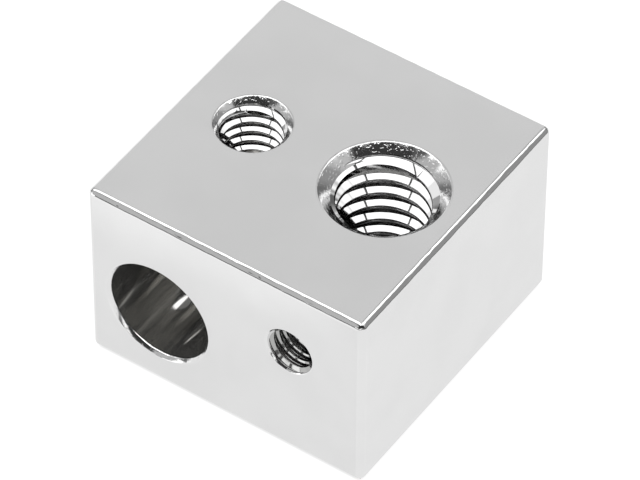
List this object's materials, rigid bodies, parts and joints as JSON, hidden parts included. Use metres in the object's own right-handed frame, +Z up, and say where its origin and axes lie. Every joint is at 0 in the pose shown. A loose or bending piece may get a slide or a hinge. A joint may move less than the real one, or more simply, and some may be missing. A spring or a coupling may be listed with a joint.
{
  "type": "heater block",
  "caption": "Rectangular metal block with a through bore for a heater cartridge, crossed by a set screw hole, beside tapped holes for a nozzle and a sensor.",
  "frame": {"origin": "centre of the base, where the block rests", "axes": "+Z up out of the face with the set screw hole, -Y out of the front face with the heater bore and the sensor hole, +X from the heater bore towards the nozzle hole"},
  "size_m": [0.0176, 0.0178, 0.012],
  "materials": {
    "bright_aluminium": "bright machined faces with polished chamfers"
  },
  "bodies": {
    "root": {"heater_block": "bright_aluminium"}
  },
  "joints": []
}
